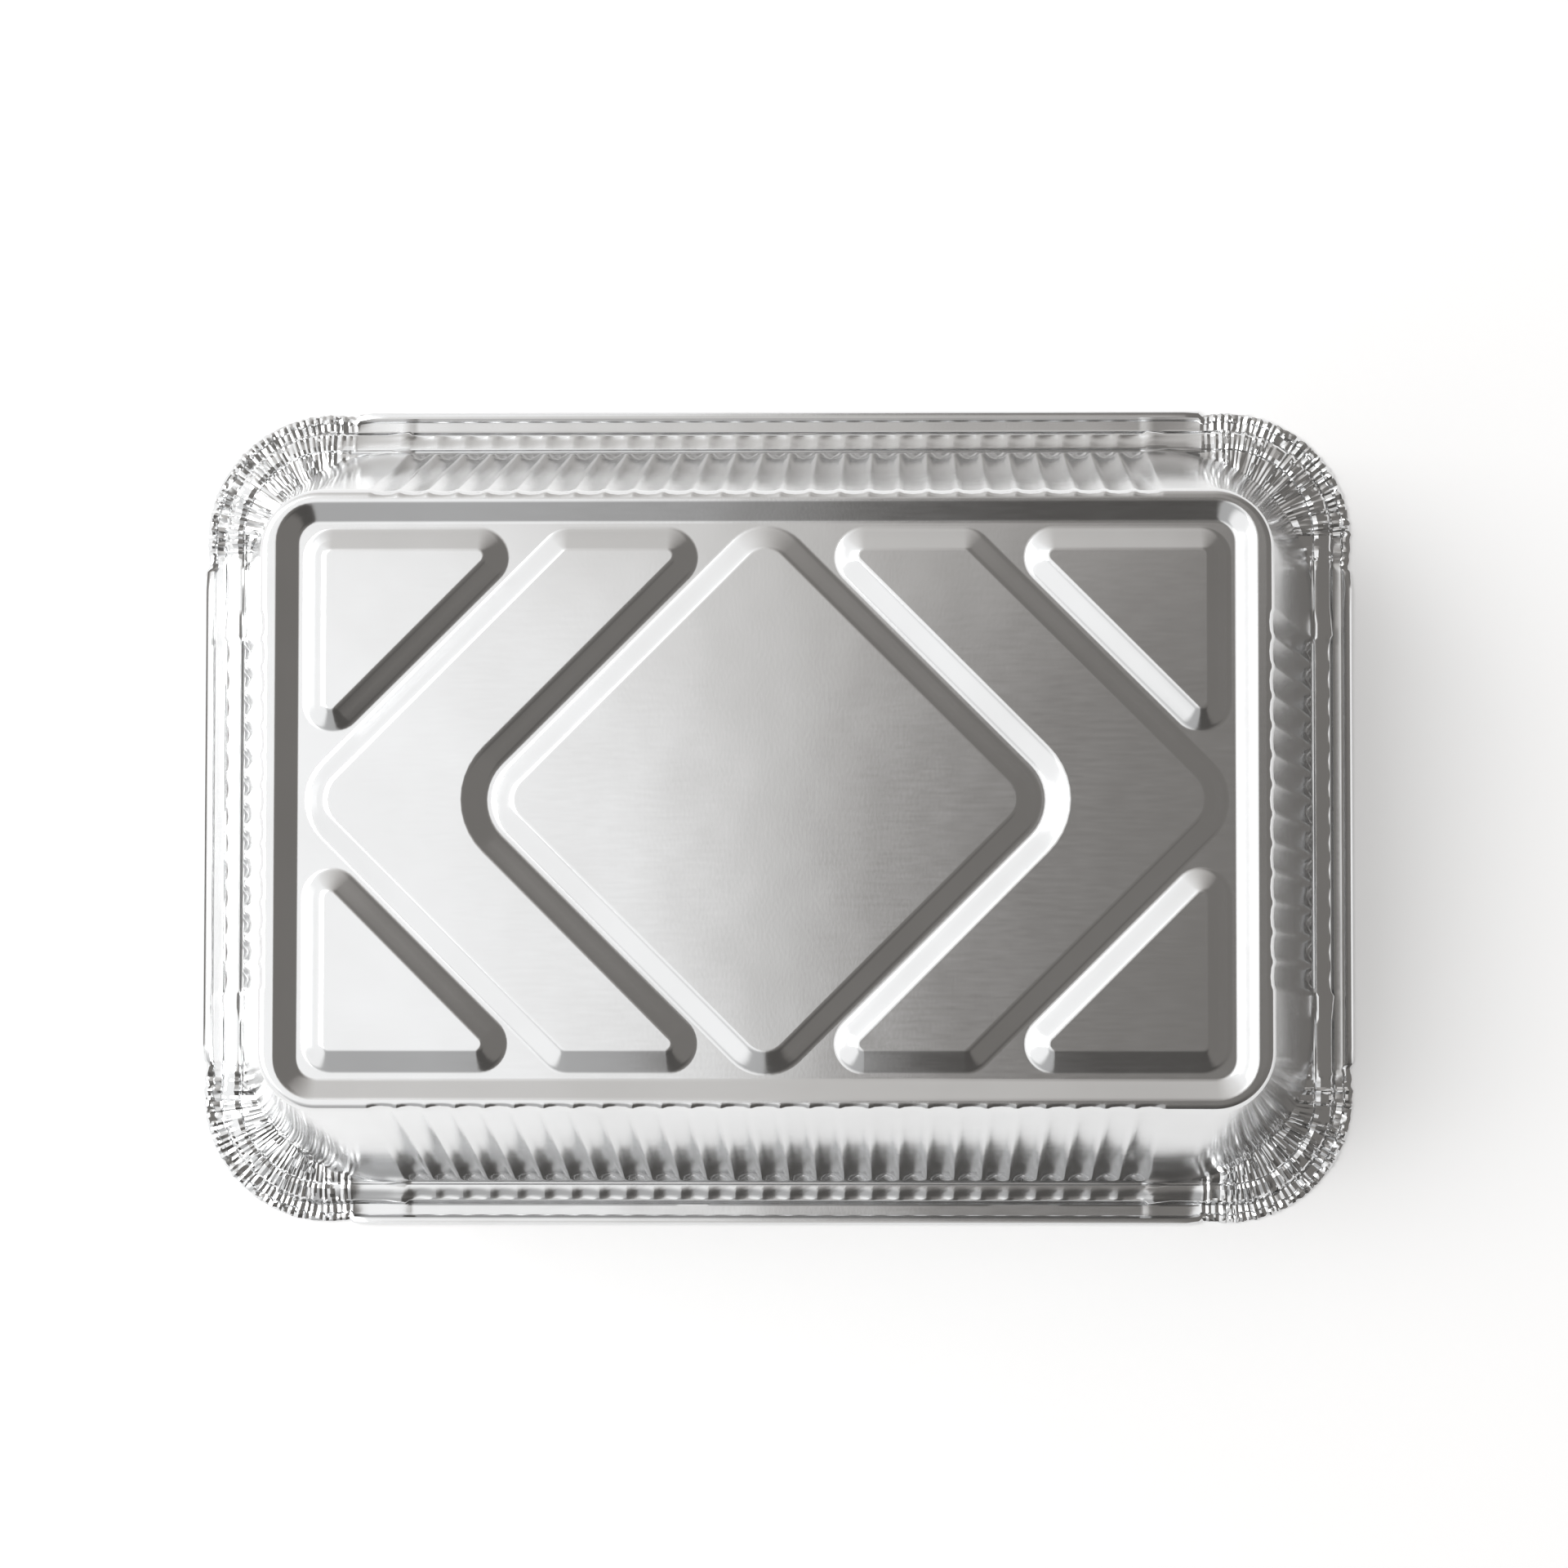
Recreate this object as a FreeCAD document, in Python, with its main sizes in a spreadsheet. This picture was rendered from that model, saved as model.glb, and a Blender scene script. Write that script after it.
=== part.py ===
import FreeCAD, Part
import math
import os
import random
import Sketcher

from FreeCAD import Vector

# Foil food container, pressed from one sheet and standing on its rim with its base up.
# The frame has its origin under the middle of the tray, +X along the length and +Z up.

document = FreeCAD.newDocument("foil_food_container")
sheet = document.addObject("Spreadsheet::Sheet", "Sizes")

sizes = [
    ("length", 215.0, "over the rim, end to end"),
    ("width", 152.0, "over the rim, side to side"),
    ("depth", 50.0, "from the rim's resting plane to the foot ring"),
    ("foil", 0.1, "thickness of the sheet"),
    ("rim_radius", 24.0, "corner of the rim, seen from above"),
    ("lip_radius", 0.8, "outer radius of the rolled lip"),
    ("lip_turn", 250.0, "degrees that the lip is rolled through"),
    ("lip_stop", 3.5, "bare edge between the lip's end and the corner"),
    ("flange_width", 3.8, "flat flange between the lip and the riser"),
    ("riser_run", 1.3, "how far the riser leans in"),
    ("riser_height", 3.0, "from the resting plane up to the lid's shoulder"),
    ("shoulder_width", 2.0, "ledge that carries a lid"),
    ("foot_length", 174.4, "outline of the foot, along the tray"),
    ("foot_width", 106.5, "outline of the foot, across the tray"),
    ("foot_radius", 10.0, "corner of the foot"),
    ("flute_pitch", 5.08, "from one flute of the wall to the next"),
    ("plain_run", 8.6, "least bare wall between the flutes and the corner of the foot"),
    ("flute_width", 3.6, "flute at the wall's face"),
    ("flute_floor", 1.2, "flat bottom of a flute"),
    ("flute_depth", 0.9, "depth of a flute near the rim"),
    ("flute_foot_depth", 0.3, "depth of a flute at the foot"),
    ("flute_arch", 2.2, "height of the arch that ends a flute"),
    ("plain_band", 1.0, "plain wall between the arches and the shoulder"),
    ("pleats", 22, "gathered pleats in each corner"),
    ("corner_flats", 11, "flats in the smooth part of each wall corner"),
    ("pleat_lift", 0.45, "height of a pleat on the flat parts of the rim"),
    ("pleat_swell", 0.35, "how far a pleat stands out of the upright parts"),
    ("pleat_reach", 13.0, "how far the pleats run up the wall"),
    ("hem_width", 1.5, "folded edge in the corners, where the lip is crushed"),
    ("hem_height", 0.75, "height of the crushed hem at its edge"),
    ("hem_setback", 0.55, "how far the crushed hem lies inside the lip's line"),
    ("ring_ends", 2.9, "width of the foot ring at the tray's ends"),
    ("ring_sides", 1.9, "width of the foot ring along the tray's sides"),
    ("panel_radius", 6.8, "corner of the foot ring's inner line"),
    ("ring_slope", 2.9, "run of the slope inside the foot ring"),
    ("rib_height", 2.2, "depth of the ribs pressed into the base"),
    ("pad_slope", 3.4, "run of the slopes round the pads"),
    ("rib_floor", 1.45, "flat between two slopes of a rib"),
    ("pad_border", 1.6, "flat between the ring's slope and the pads"),
    ("diamond_inset", 1.05, "from the foot ring's inner line to the middle pad's sharp tip"),
    ("chevron_width", 21.7, "each chevron pad, square to its edges"),
    ("pad_radius", 4.8, "corners of the pads"),
    ("diamond_radius", 6.0, "corners of the middle pad"),
    ("elbow_radius", 9.0, "bends of the chevron pads"),
    ("seam_width", 0.8, "foot ring that is drawn with the base panel"),
]
for row, (alias, value, meaning) in enumerate(sizes, start=1):
    sheet.set("A%d" % row, alias.replace("_", " "))
    sheet.set("B%d" % row, str(value))
    sheet.set("C%d" % row, meaning)
    sheet.setAlias("B%d" % row, alias)
document.recompute()


class Measure:
    """A length worked out from the sheet: its value, and the expression that keeps it bound there."""

    def __init__(self, value, text):
        self.value = value
        self.text = text

    def __add__(self, other):
        return Measure(self.value + other.value, "(%s + %s)" % (self.text, other.text))

    def __sub__(self, other):
        return Measure(self.value - other.value, "(%s - %s)" % (self.text, other.text))

    def __mul__(self, factor):
        return Measure(self.value * factor, "(%s * %r)" % (self.text, factor))

    def __truediv__(self, divisor):
        return Measure(self.value / divisor, "(%s / %r)" % (self.text, divisor))

    def __neg__(self):
        return Measure(-self.value, "(-%s)" % self.text)


def size(alias):
    return Measure(float(sheet.get(alias)), "Sizes." + alias)


NOTHING = Measure(0.0, "0")
SLAB_ROOT = Measure(1.0, "1")
DIAGONAL = math.sqrt(2)

# Sketch helpers


def add_sketch(body, name, role, offset):
    """A sketch on one of the body's planes, moved off it by the measure given."""
    plane = next(p for p in body.Origin.OriginFeatures if p.Role == role)
    sketch = body.newObject("Sketcher::SketchObject", name)
    sketch.AttachmentSupport = [(plane, "")]
    sketch.MapMode = "FlatFace"
    sketch.setExpression("AttachmentOffset.Base.z", offset.text)
    return sketch


def bind_all(sketch, constraints, measures):
    """Add constraints at one go, and bind the dimensions among them to their measures."""
    first = len(sketch.Constraints)
    sketch.addConstraint(constraints)
    for place, measure in measures.items():
        sketch.setExpression("Constraints[%d]" % (first + place), measure.text)


def nearest_end(sketch, curve, point):
    """Which end of a curve lies at a point: 1 is its start and 2 its end."""
    to_start = (sketch.getPoint(curve, 1) - point).Length
    to_end = (sketch.getPoint(curve, 2) - point).Length
    return 1 if to_start < to_end else 2


def draw_outline(sketch, corners):
    """A closed outline of lines and tangent arcs. Each corner is (x, y, radius), all of them measures."""
    count = len(corners)
    points = [Vector(x.value, y.value, 0) for x, y, radius in corners]
    constraints = []
    measures = {}
    marks = []
    bends = []
    for i, (x, y, radius) in enumerate(corners):
        mark = sketch.addGeometry(Part.Point(points[i]), True)
        marks.append(mark)
        back = (points[i - 1] - points[i]).normalize()
        ahead = (points[(i + 1) % count] - points[i]).normalize()
        half_angle = back.getAngle(ahead) / 2
        run = radius.value / math.tan(half_angle)
        inward = (back + ahead).normalize()
        middle = points[i] + inward * (radius.value / math.sin(half_angle))
        start = points[i] + back * run
        end = points[i] + ahead * run
        arc = sketch.addGeometry(Part.Arc(start, middle - inward * radius.value, end))
        bends.append((start, end, arc))
        for kind, where, measure in (
            ("DistanceX", (-1, 1, mark, 1), x),
            ("DistanceY", (-1, 1, mark, 1), y),
            ("Radius", (arc,), radius),
        ):
            measures[len(constraints)] = measure
            constraints.append(Sketcher.Constraint(kind, *where, measure.value))
    for i in range(count):
        following = (i + 1) % count
        start = bends[i][1]
        end = bends[following][0]
        line = sketch.addGeometry(Part.LineSegment(start, end))
        for corner, place, line_end in ((i, start, 1), (following, end, 2)):
            arc = bends[corner][2]
            arc_end = nearest_end(sketch, arc, place)
            constraints.append(Sketcher.Constraint("Tangent", arc, arc_end, line, line_end))
            constraints.append(Sketcher.Constraint("PointOnObject", marks[corner], 1, line))
    bind_all(sketch, constraints, measures)


def rectangle(half_x, half_y, radius):
    upper = [(half_x, half_y, radius), (-half_x, half_y, radius)]
    lower = [(-half_x, -half_y, radius), (half_x, -half_y, radius)]
    return upper + lower


# Outlines of the base


def panel_reach():
    """Half the length and half the width inside the foot ring."""
    half_x = size("foot_length") / 2 - size("ring_ends")
    half_y = size("foot_width") / 2 - size("ring_sides")
    return half_x, half_y


def seam_outline():
    """Where the base panel meets the foot ring of the wall."""
    seam = size("seam_width")
    half_x, half_y = panel_reach()
    return rectangle(half_x + seam, half_y + seam, size("panel_radius") + seam)


def recess_outline():
    """The inner line of the foot ring, where the slope down to the ribs' floor begins."""
    half_x, half_y = panel_reach()
    return rectangle(half_x, half_y, size("panel_radius"))


def pad_outlines():
    """The middle diamond, a chevron on each side and a triangle in each corner, at the ribs' floor."""
    border = size("ring_slope") + size("pad_border")
    half_x, half_y = panel_reach()
    pad_x = half_x - border
    pad_y = half_y - border
    diamond = half_y - size("diamond_inset")
    chevron_inner = diamond + size("rib_floor") * DIAGONAL
    chevron_outer = chevron_inner + size("chevron_width") * DIAGONAL
    triangle = chevron_outer + size("rib_floor") * DIAGONAL
    tip = size("diamond_radius")
    corner = size("pad_radius")
    elbow = size("elbow_radius")
    outlines = [[(diamond, NOTHING, tip), (NOTHING, diamond, tip), (-diamond, NOTHING, tip), (NOTHING, -diamond, tip)]]
    for side in (1, -1):
        upper = [
            ((chevron_inner - pad_y) * side, pad_y, corner),
            (chevron_inner * side, NOTHING, elbow),
            ((chevron_inner - pad_y) * side, -pad_y, corner),
        ]
        lower = [
            ((chevron_outer - pad_y) * side, -pad_y, corner),
            (chevron_outer * side, NOTHING, elbow),
            ((chevron_outer - pad_y) * side, pad_y, corner),
        ]
        outlines.append(upper + lower)
        for end in (1, -1):
            outlines.append(
                [
                    (pad_x * side, pad_y * end, corner),
                    ((triangle - pad_y) * side, pad_y * end, corner),
                    (pad_x * side, (triangle - pad_x) * end, corner),
                ]
            )
    return outlines


# Base panel: a pressed form, less the same form one thickness lower


def pressed_form():
    """The base as a block, with its pads level with the foot ring and the ribs sunk between them."""
    body = document.addObject("PartDesign::Body", "pressed_form")
    floor_level = size("depth") - size("rib_height")

    slab_sketch = add_sketch(body, "slab_outline", "XY_Plane", floor_level - SLAB_ROOT)
    draw_outline(slab_sketch, seam_outline())
    slab = body.newObject("PartDesign::Pad", "slab")
    slab.Profile = slab_sketch
    slab.setExpression("Length", (size("rib_height") + SLAB_ROOT).text)

    recess_sketch = add_sketch(body, "recess_outline", "XY_Plane", size("depth"))
    draw_outline(recess_sketch, recess_outline())
    recess = body.newObject("PartDesign::Pocket", "recess")
    recess.Profile = recess_sketch
    recess.setExpression("Length", size("rib_height").text)
    recess.setExpression("TaperAngle", "-atan(Sizes.ring_slope / Sizes.rib_height)")

    pad_sketch = add_sketch(body, "pad_outlines", "XY_Plane", floor_level)
    for outline in pad_outlines():
        draw_outline(pad_sketch, outline)
    pads = body.newObject("PartDesign::Pad", "pads")
    pads.Profile = pad_sketch
    pads.setExpression("Length", size("rib_height").text)
    pads.setExpression("TaperAngle", "-atan(Sizes.pad_slope / Sizes.rib_height)")
    body.Tip = pads
    return body


upper_form = pressed_form()
lower_form = document.addObject("Part::Compound", "lower_form")
lower_form.Links = [upper_form]
lower_form.setExpression("Placement.Base.z", "-Sizes.foil")
base_panel = document.addObject("Part::Cut", "base_panel")
base_panel.Base = upper_form
base_panel.Tool = lower_form

# Rim and walls: a skin of flat facets on each side of the sheet, because every pleat and flute bends it


def number(alias):
    return size(alias).value


def whole(alias):
    return int(round(size(alias).value))


LIP = number("lip_radius")
RISER_INSET = LIP + number("flange_width")
SHOULDER_INSET = RISER_INSET + number("riser_run")
WALL_INSET = SHOULDER_INSET + number("shoulder_width")
RIM_RADIUS = number("rim_radius")
FOIL = number("foil")
DEPTH = number("depth")
SHOULDER_LEVEL = number("riser_height")
RIM_CENTRE = (number("length") / 2 - RIM_RADIUS, number("width") / 2 - RIM_RADIUS)
FOOT_RADIUS = number("foot_radius")
FOOT_CENTRE = (number("foot_length") / 2 - FOOT_RADIUS, number("foot_width") / 2 - FOOT_RADIUS)
OUTSIDE = 0.0
INSIDE = FOIL
QUARTER = math.pi / 2
CORNER_SIGNS = ((1, 1), (-1, 1), (-1, -1), (1, -1))
FLAT_ENOUGH = 1e-6
PLEAT_DRIFT = 0.25
WEAKEST_PLEAT = 0.55


def closed(points):
    return Part.makePolygon(points + points[:1])


def facet(*points):
    """A flat face through points in order."""
    return Part.Face(closed(list(points)))


def strip(one, other):
    """Facets between two rows of as many points: one where four points lie in a plane, and two if not."""
    faces = []
    for i in range(len(one) - 1):
        four = [one[i], one[i + 1], other[i + 1], other[i]]
        if closed(four).findPlane(FLAT_ENOUGH):
            faces.append(facet(*four))
        else:
            faces += [facet(four[0], four[1], four[2]), facet(four[0], four[2], four[3])]
    return faces


def weave(one, other):
    """Triangles between two rows that run side by side, whatever their numbers of points."""
    faces = []
    i = 0
    j = 0
    while i < len(one) - 1 or j < len(other) - 1:
        if (i + 1) * (len(other) - 1) <= (j + 1) * (len(one) - 1):
            faces.append(facet(one[i], one[i + 1], other[j]))
            i += 1
        else:
            faces.append(facet(one[i], other[j + 1], other[j]))
            j += 1
    return faces


def wall_at(level):
    """Centre and radius of the wall's corner at a level: it narrows evenly from the shoulder to the foot."""
    share = (level - SHOULDER_LEVEL) / (DEPTH - SHOULDER_LEVEL)
    centre = [rim + (foot - rim) * share for rim, foot in zip(RIM_CENTRE, FOOT_CENTRE)]
    rim_side = RIM_RADIUS - WALL_INSET
    return centre, rim_side + (FOOT_RADIUS - rim_side) * share


def corner_point(corner, centre, radius, angle, level):
    """A point at an angle and radius round a corner's axis, counted from the corner's first side."""
    sign_x, sign_y = CORNER_SIGNS[corner]
    turn = corner * QUARTER + angle
    x = sign_x * centre[0] + radius * math.cos(turn)
    y = sign_y * centre[1] + radius * math.sin(turn)
    return Vector(x, y, level)


def side_point(side, along, outward, level):
    """A point on one side of the tray: outward from the middle, and along it in the walking direction."""
    turn = (side + 1) * QUARTER
    x = outward * math.cos(turn) - along * math.sin(turn)
    y = outward * math.sin(turn) + along * math.cos(turn)
    return Vector(x, y, level)


def pleat_lines(corner, skin):
    """Angle and strength of each fold in a corner: valleys of no strength, and a ridge between each two.

    A ridge is foil gathered double and pressed flat, so the inside has the valleys alone.
    """
    chance = random.Random(corner)
    pleats = whole("pleats")
    lines = []
    for i in range(2 * pleats + 1):
        ridge = i % 2 == 1
        drift = 0.0 if i in (0, 2 * pleats) else chance.uniform(-PLEAT_DRIFT, PLEAT_DRIFT)
        strength = chance.uniform(WEAKEST_PLEAT, 1.0) if ridge else 0.0
        if skin == OUTSIDE or not ridge:
            lines.append((QUARTER * (i + drift) / (2 * pleats), strength))
    return lines


def pleat_slope(strength):
    """How steeply a ridge rises from the corner's axis outwards, over the flat parts of the rim."""
    return number("pleat_lift") * strength / RIM_RADIUS


def rim_corner(corner, skin):
    """Rows of points round one corner of the rim: at the riser's foot and at the shoulder's edge."""
    riser_foot = RIM_RADIUS - RISER_INSET
    riser_lean = number("riser_run") / (SHOULDER_LEVEL - FOIL)
    riser_apex = FOIL + riser_foot / riser_lean - skin / riser_lean
    swell = number("pleat_swell")
    rows = {"riser": [], "shoulder": []}
    for angle, strength in pleat_lines(corner, skin):
        slope = pleat_slope(strength)
        lean = riser_lean * (1 + swell * strength / riser_foot)
        for name, level in (("riser", FOIL - skin), ("shoulder", SHOULDER_LEVEL - skin)):
            radius = lean * (riser_apex - level) / (1 + lean * slope)
            rows[name].append(corner_point(corner, RIM_CENTRE, radius, angle, level + slope * radius))
    return rows


def hem_rows(corner):
    """The crushed edge in a corner: its outer bottom, its outer top, and where it meets the flange."""
    outer = RIM_RADIUS - number("hem_setback")
    inner = outer - number("hem_width")
    rise = (number("hem_height") - FOIL) / number("hem_width")
    bottom = []
    top = []
    seat = []
    for angle, strength in pleat_lines(corner, OUTSIDE):
        slope = pleat_slope(strength)
        edge = outer + number("pleat_swell") * strength
        top_level = FOIL + rise * (edge - inner) + slope * edge
        bottom.append(corner_point(corner, RIM_CENTRE, edge, angle, 0.0))
        top.append(corner_point(corner, RIM_CENTRE, edge, angle, top_level))
        seat.append(corner_point(corner, RIM_CENTRE, inner, angle, FOIL + slope * inner))
    return bottom, top, seat


def wall_corner(corner, skin):
    """Facets of the wall round one corner: pleated near the shoulder, smooth from there to the foot."""
    top_centre, top_radius = wall_at(SHOULDER_LEVEL - skin)
    pleated = []
    for angle, strength in pleat_lines(corner, skin):
        radius = top_radius + number("pleat_swell") * strength - skin
        level = SHOULDER_LEVEL - skin + pleat_slope(strength) * radius
        pleated.append(corner_point(corner, top_centre, radius, angle, level))
    flats = whole("corner_flats")
    smooth = []
    foot = []
    for row, level in ((smooth, SHOULDER_LEVEL + number("pleat_reach")), (foot, DEPTH - skin)):
        centre, radius = wall_at(level)
        for i in range(flats + 1):
            row.append(corner_point(corner, centre, radius - skin, QUARTER * i / flats, level))
    return weave(pleated, smooth) + strip(smooth, foot), pleated, smooth, foot


def flute(side, middle, skin):
    """One flute of a wall: its edge in the wall's face, its line on the foot, and its facets."""
    axis = (side + 1) % 2
    half_mouth = number("flute_width") / 2
    half_floor = number("flute_floor") / 2
    tip_level = SHOULDER_LEVEL + number("plain_band")
    arch_level = tip_level + number("flute_arch")
    foot_level = DEPTH - skin

    def at(along, level, sunk=0.0):
        centre, radius = wall_at(level)
        return side_point(side, middle + along, centre[axis] + radius - skin - sunk, level)

    foot_line = [
        at(-half_mouth, foot_level),
        at(-half_floor, foot_level, number("flute_foot_depth")),
        at(half_floor, foot_level, number("flute_foot_depth")),
        at(half_mouth, foot_level),
    ]
    arch_line = [
        at(-half_mouth, arch_level),
        at(-half_floor, arch_level, number("flute_depth")),
        at(half_floor, arch_level, number("flute_depth")),
        at(half_mouth, arch_level),
    ]
    tip = at(0.0, tip_level)
    faces = strip(foot_line, arch_line) + weave(arch_line, [tip])
    edge = [foot_line[0], arch_line[0], tip, arch_line[3], foot_line[3]]
    return edge, foot_line, faces


def side_wall(side, skin, start, end):
    """A fluted wall between two corners, and its line on the foot."""
    pitch = number("flute_pitch")
    count = int(2 * (FOOT_CENTRE[side % 2] - number("plain_run")) / pitch)
    outline = list(start)
    foot = [start[-1]]
    faces = []
    for i in range(count):
        edge, foot_line, flute_faces = flute(side, (i - (count - 1) / 2) * pitch, skin)
        outline += edge
        foot += foot_line
        faces += flute_faces
    outline += list(reversed(end))
    foot.append(end[-1])
    faces.append(facet(*outline))
    return faces, foot


def plain_edge(corner, which_end):
    """The bare edge of the flange where a straight side meets a corner: its bottom and its top."""
    angle = 0.0 if which_end == "first" else QUARTER
    return [corner_point(corner, RIM_CENTRE, RIM_RADIUS - LIP, angle, level) for level in (0.0, FOIL)]


def rounded_wire(corners, level):
    """The seam's outline at a level, as one wire of lines and arcs."""
    (x, y, radius) = corners[0]
    half = (x.value - radius.value, y.value - radius.value)
    edges = []
    for corner in range(4):
        first, middle, last = [
            corner_point(corner, half, radius.value, QUARTER * share, level) for share in (0, 0.5, 1)
        ]
        following = corner_point((corner + 1) % 4, half, radius.value, 0, level)
        edges.append(Part.Arc(first, middle, last).toShape())
        edges.append(Part.makeLine(last, following))
    return Part.Wire(edges)


def ring_face(outer, hole):
    """A flat face between an outer loop and a hole."""
    return Part.makeFace([outer, hole], "Part::FaceMakerBullseye")


def skin_faces(skin, rims):
    """One side of the sheet from the riser's foot up to the seam with the base panel."""
    faces = []
    foot_loop = []
    walls = [wall_corner(corner, skin) for corner in range(4)]
    for corner in range(4):
        following = (corner + 1) % 4
        wall_faces, pleated, smooth, foot = walls[corner]
        next_pleated, next_smooth, next_foot = walls[following][1:]
        rim = rims[corner]
        next_rim = rims[following]
        faces += wall_faces + strip(rim["riser"], rim["shoulder"]) + strip(rim["shoulder"], pleated)
        start = (pleated[-1], smooth[-1], foot[-1])
        end = (next_pleated[0], next_smooth[0], next_foot[0])
        side_faces, side_foot = side_wall(corner, skin, start, end)
        faces += side_faces
        foot_loop += foot + side_foot[1:-1]
        riser = [rim["riser"][-1], next_rim["riser"][0]]
        shoulder = [rim["shoulder"][-1], next_rim["shoulder"][0]]
        faces += strip(riser, shoulder) + strip(shoulder, [pleated[-1], next_pleated[0]])
    faces.append(ring_face(closed(foot_loop), rounded_wire(seam_outline(), DEPTH - skin)))
    return faces


def flange_faces(upper_rims, lower_rims):
    """The flange with its plain edges on the straight sides and its crushed hem round the corners."""
    faces = []
    rest_edge = []
    rest_hole = []
    hems = [hem_rows(corner) for corner in range(4)]
    for corner in range(4):
        following = (corner + 1) % 4
        bottom, top, seat = hems[corner]
        riser = upper_rims[corner]["riser"]
        first_edge = plain_edge(corner, "first")
        last_edge = plain_edge(corner, "last")
        next_edge = plain_edge(following, "first")
        faces += strip(bottom, top) + strip(top, seat) + strip(seat, riser)
        for end, edge in ((0, first_edge), (-1, last_edge)):
            faces.append(facet(bottom[end], top[end], seat[end], edge[1], edge[0]))
        faces += strip(last_edge, next_edge)
        next_seat = hems[following][2][0]
        next_riser = upper_rims[following]["riser"][0]
        faces.append(facet(last_edge[1], next_edge[1], next_seat, next_riser, riser[-1], seat[-1]))
        rest_edge += [first_edge[0]] + bottom + [last_edge[0]]
        rest_hole += lower_rims[corner]["riser"]
    faces.append(ring_face(closed(rest_edge), closed(rest_hole)))
    return faces


def build_skirt():
    """Rim and walls as one solid, sewn from the two sides of the sheet and its edges."""
    upper_rims = [rim_corner(corner, OUTSIDE) for corner in range(4)]
    lower_rims = [rim_corner(corner, INSIDE) for corner in range(4)]
    seam_band = rounded_wire(seam_outline(), DEPTH).extrude(Vector(0, 0, -FOIL))
    faces = skin_faces(OUTSIDE, upper_rims) + skin_faces(INSIDE, lower_rims)
    faces += flange_faces(upper_rims, lower_rims) + seam_band.Faces
    skin = Part.Compound(faces)
    skin.sewShape()
    return Part.Solid(skin.Shells[0])


rim_and_walls = document.addObject("Part::Feature", "rim_and_walls")
rim_and_walls.Shape = build_skirt()

# Rolled lip of the straight sides: one strip of sheet turned up and in, which the corners interrupt


def rolled_lip(name, role, half_across, length):
    """A lip on the negative side of a plane, and the same lip mirrored to the other side."""
    body = document.addObject("PartDesign::Body", name)
    sketch = add_sketch(body, name + "_section", role, NOTHING)
    radius = size("lip_radius")
    inner_radius = radius - size("foil")
    across = radius - half_across
    centre = Vector(across.value, radius.value, 0)
    turn = math.radians(number("lip_turn"))
    last = -QUARTER
    arcs = []
    for reach in (radius, inner_radius):
        circle = Part.Circle(centre, Vector(0, 0, 1), reach.value)
        arcs.append(sketch.addGeometry(Part.ArcOfCircle(circle, last - turn, last)))
    outer, inner = arcs
    root = sketch.addGeometry(Part.LineSegment(sketch.getPoint(outer, 2), sketch.getPoint(inner, 2)))
    tip = sketch.addGeometry(Part.LineSegment(sketch.getPoint(inner, 1), sketch.getPoint(outer, 1)))
    constraints = [
        Sketcher.Constraint("DistanceX", -1, 1, outer, 3, across.value),
        Sketcher.Constraint("DistanceY", -1, 1, outer, 3, radius.value),
        Sketcher.Constraint("Radius", outer, radius.value),
        Sketcher.Constraint("Radius", inner, inner_radius.value),
        Sketcher.Constraint("Angle", outer, turn),
        Sketcher.Constraint("Coincident", outer, 3, inner, 3),
        Sketcher.Constraint("Coincident", outer, 2, root, 1),
        Sketcher.Constraint("Coincident", root, 2, inner, 2),
        Sketcher.Constraint("Coincident", inner, 1, tip, 1),
        Sketcher.Constraint("Coincident", tip, 2, outer, 1),
        Sketcher.Constraint("Vertical", root),
        Sketcher.Constraint("PointOnObject", outer, 3, root),
        Sketcher.Constraint("PointOnObject", outer, 3, tip),
    ]
    bind_all(sketch, constraints, dict(enumerate([across, radius, radius, inner_radius, size("lip_turn")])))
    lip = body.newObject("PartDesign::Pad", name + "_roll")
    lip.Profile = sketch
    lip.Midplane = True
    lip.setExpression("Length", length.text)
    body.Tip = lip
    other = document.addObject("Part::Mirroring", name + "_opposite")
    other.Source = body
    other.Normal = Vector(0, 1, 0) if role == "YZ_Plane" else Vector(1, 0, 0)
    return [body, other]


corner_ends = (size("rim_radius") + size("lip_stop")) * 2
lips = rolled_lip("side_lip", "YZ_Plane", size("width") / 2, size("length") - corner_ends)
lips += rolled_lip("end_lip", "XZ_Plane", size("length") / 2, size("width") - corner_ends)

# The whole tray, one piece of foil

tray = document.addObject("Part::MultiFuse", "foil_tray")
tray.Shapes = [rim_and_walls, base_panel] + lips
tray.Refine = True
tray.Label = "foil_tray"
tray.Placement = FreeCAD.Placement()
document.recompute()

for item in document.Objects:
    if "Invalid" in item.State or "Error" in item.State:
        raise RuntimeError("%s failed: %s" % (item.Label, item.State))
if tray.Shape.isNull() or not tray.Shape.isValid() or len(tray.Shape.Solids) != 1:
    raise RuntimeError("the tray is not one valid solid")

os.makedirs("parts", exist_ok=True)
tray.Shape.exportStep("parts/%s.step" % tray.Label)
print("foil_tray: %.1f mm3 in %d faces" % (tray.Shape.Volume, len(tray.Shape.Faces)))
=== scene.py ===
# %% [markdown]
# # A foil food container, turned base up
#
# The real thing is one sheet of aluminium foil, a tenth of a millimetre thick, pressed between two dies.
# Its base has a foot ring and seven raised pads, its walls are fluted, and its rim is stepped and rolled.
# In the corners the foil has nowhere to go, so it gathers in dozens of small folds.
# The solid model gives its size and place. Here it gets the folds, the crinkles and the shine.

# %% Load the solid model
import math
import random

import bmesh
import bpy
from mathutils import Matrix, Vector, noise


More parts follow.
